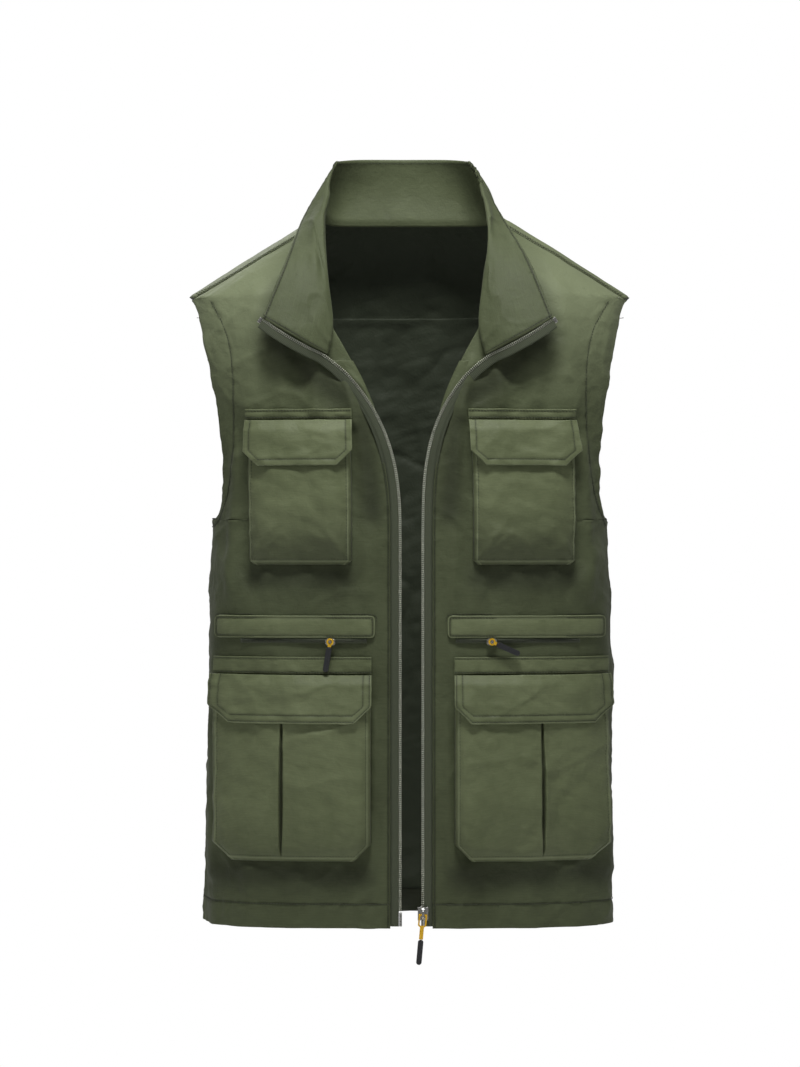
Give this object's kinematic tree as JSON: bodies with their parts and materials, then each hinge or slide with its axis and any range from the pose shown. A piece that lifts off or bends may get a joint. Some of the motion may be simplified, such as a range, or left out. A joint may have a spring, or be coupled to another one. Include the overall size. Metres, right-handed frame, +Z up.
{
  "type": "fishing vest",
  "caption": "Sleeveless olive utility vest with a stand collar, full front zip worn open, flap-topped bellows pockets and zipped hand pockets.",
  "frame": {"origin": "middle of the hanger rest, midway between the shoulders and front to back, 16 mm below the point where the shoulder ridge meets the collar", "axes": "+Z up, along the hanging garment; the wearer faces -Y, and the wearer's left is +X"},
  "size_m": [0.442, 0.2174, 0.8096],
  "materials": {
    "olive_shell": "olive woven nylon with a slight sheen",
    "olive_lining": "darker olive woven lining and facings",
    "zip_tape": "olive woven zip tape",
    "zip_teeth": "fine metal teeth with an aged olive-silver finish",
    "silver_metal": "polished nickel-plated zinc",
    "gold_metal": "polished gold-plated zinc",
    "black_rubber": "matte black moulded rubber"
  },
  "bodies": {
    "root": {"back_panel": "olive_shell", "back_hem_turning": "olive_lining", "back_yoke": "olive_shell", "collar_stand": "olive_shell", "front_upper_left": "olive_shell", "armhole_facing_back_left": "olive_lining", "collar_leaf_left": "olive_shell", "zip_tape_upper_left": "zip_tape", "zip_teeth_upper_left": "zip_teeth", "zip_top_stop_left": "silver_metal", "lapel_facing_left": "olive_lining", "front_upper_right": "olive_shell", "armhole_facing_back_right": "olive_lining", "collar_leaf_right": "olive_shell", "zip_tape_upper_right": "zip_tape", "zip_teeth_upper_right": "zip_teeth", "zip_top_stop_right": "silver_metal", "lapel_facing_right": "olive_lining"},
    "left_front": {"front_panel_left": "olive_shell", "hem_turning_left": "olive_lining", "armhole_facing_front_left": "olive_lining", "zip_tape_lower_left": "zip_tape", "zip_teeth_lower_left": "zip_teeth", "zip_retaining_box": "silver_metal", "chest_pocket_left": "olive_shell", "chest_flap_band_left": "olive_shell", "cargo_pocket_left": "olive_shell", "cargo_flap_band_left": "olive_shell", "hand_pocket_welt_left": "olive_shell", "hand_pocket_zip_left": "zip_teeth", "hand_pocket_bag_left": "olive_lining"},
    "right_front": {"front_panel_right": "olive_shell", "hem_turning_right": "olive_lining", "armhole_facing_front_right": "olive_lining", "zip_tape_lower_right": "zip_tape", "zip_teeth_lower_right": "zip_teeth", "zip_insertion_pin": "silver_metal", "chest_pocket_right": "olive_shell", "chest_flap_band_right": "olive_shell", "cargo_pocket_right": "olive_shell", "cargo_flap_band_right": "olive_shell", "hand_pocket_welt_right": "olive_shell", "hand_pocket_zip_right": "zip_teeth", "hand_pocket_bag_right": "olive_lining"},
    "left_chest_flap": {"chest_flap_left": "olive_shell"},
    "left_cargo_flap": {"cargo_flap_left": "olive_shell"},
    "left_hand_slider": {"hand_zip_slider_left": "silver_metal"},
    "left_hand_pull": {"hand_pull_link_left": "gold_metal", "hand_pull_tab_left": "black_rubber"},
    "right_chest_flap": {"chest_flap_right": "olive_shell"},
    "right_cargo_flap": {"cargo_flap_right": "olive_shell"},
    "right_hand_slider": {"hand_zip_slider_right": "silver_metal"},
    "right_hand_pull": {"hand_pull_link_right": "gold_metal", "hand_pull_tab_right": "black_rubber"},
    "main_slider": {"main_zip_slider": "silver_metal"},
    "main_pull": {"main_pull_link": "gold_metal", "main_pull_tab": "black_rubber"}
  },
  "joints": [
    {"name": "left_front_open", "type": "hinge", "parent": "root", "child": "left_front", "pos_m": [0.1985, 0, -0.293], "axis": [-0.0172, 0, 0.9999], "range_deg": [-3, 20]},
    {"name": "right_front_open", "type": "hinge", "parent": "root", "child": "right_front", "pos_m": [-0.1985, 0, -0.293], "axis": [-0.0172, 0, -0.9999], "range_deg": [-3, 20]},
    {"name": "left_chest_flap_lift", "type": "hinge", "parent": "left_front", "child": "left_chest_flap", "pos_m": [0.11195, -0.0996, -0.19424], "axis": [-0.9882, -0.1531, 0], "range_deg": [0, 120]},
    {"name": "left_cargo_flap_lift", "type": "hinge", "parent": "left_front", "child": "left_cargo_flap", "pos_m": [0.12173, -0.09799, -0.44729], "axis": [-0.9796, -0.2008, 0], "range_deg": [0, 90]},
    {"name": "left_hand_zip_run", "type": "hinge", "parent": "left_front", "child": "left_hand_slider", "pos_m": [0.05633, 0.17809, -0.4148], "axis": [0, 0, 1], "range_deg": [-6, 17.4]},
    {"name": "left_hand_pull_swing", "type": "hinge", "parent": "left_hand_slider", "child": "left_hand_pull", "pos_m": [0.08095, -0.10417, -0.4148], "axis": [0.0869, -0.9962, 0], "range_deg": [-141, 9]},
    {"name": "right_chest_flap_lift", "type": "hinge", "parent": "right_front", "child": "right_chest_flap", "pos_m": [-0.11075, -0.10005, -0.19428], "axis": [-0.9892, 0.1465, 0], "range_deg": [0, 120]},
    {"name": "right_cargo_flap_lift", "type": "hinge", "parent": "right_front", "child": "right_cargo_flap", "pos_m": [-0.11741, -0.0986, -0.44729], "axis": [-0.9825, 0.1862, 0], "range_deg": [0, 90]},
    {"name": "right_hand_zip_run", "type": "hinge", "parent": "right_front", "child": "right_hand_slider", "pos_m": [-0.05418, 0.18595, -0.4148], "axis": [0, 0, -1], "range_deg": [-5.9, 17.2]},
    {"name": "right_hand_pull_swing", "type": "hinge", "parent": "right_hand_slider", "child": "right_hand_pull", "pos_m": [-0.07913, -0.10417, -0.4148], "axis": [-0.0857, -0.9963, 0], "range_deg": [-66, 84]},
    {"name": "main_zip_run", "type": "slide", "parent": "left_front", "child": "main_slider", "axis": [0, 0, 1], "range_m": [0, 0.35]},
    {"name": "main_pull_swing", "type": "hinge", "parent": "main_slider", "child": "main_pull", "pos_m": [0.0128, -0.10384, -0.6852], "axis": [-1, 0, 0], "range_deg": [0, 150]}
  ]
}
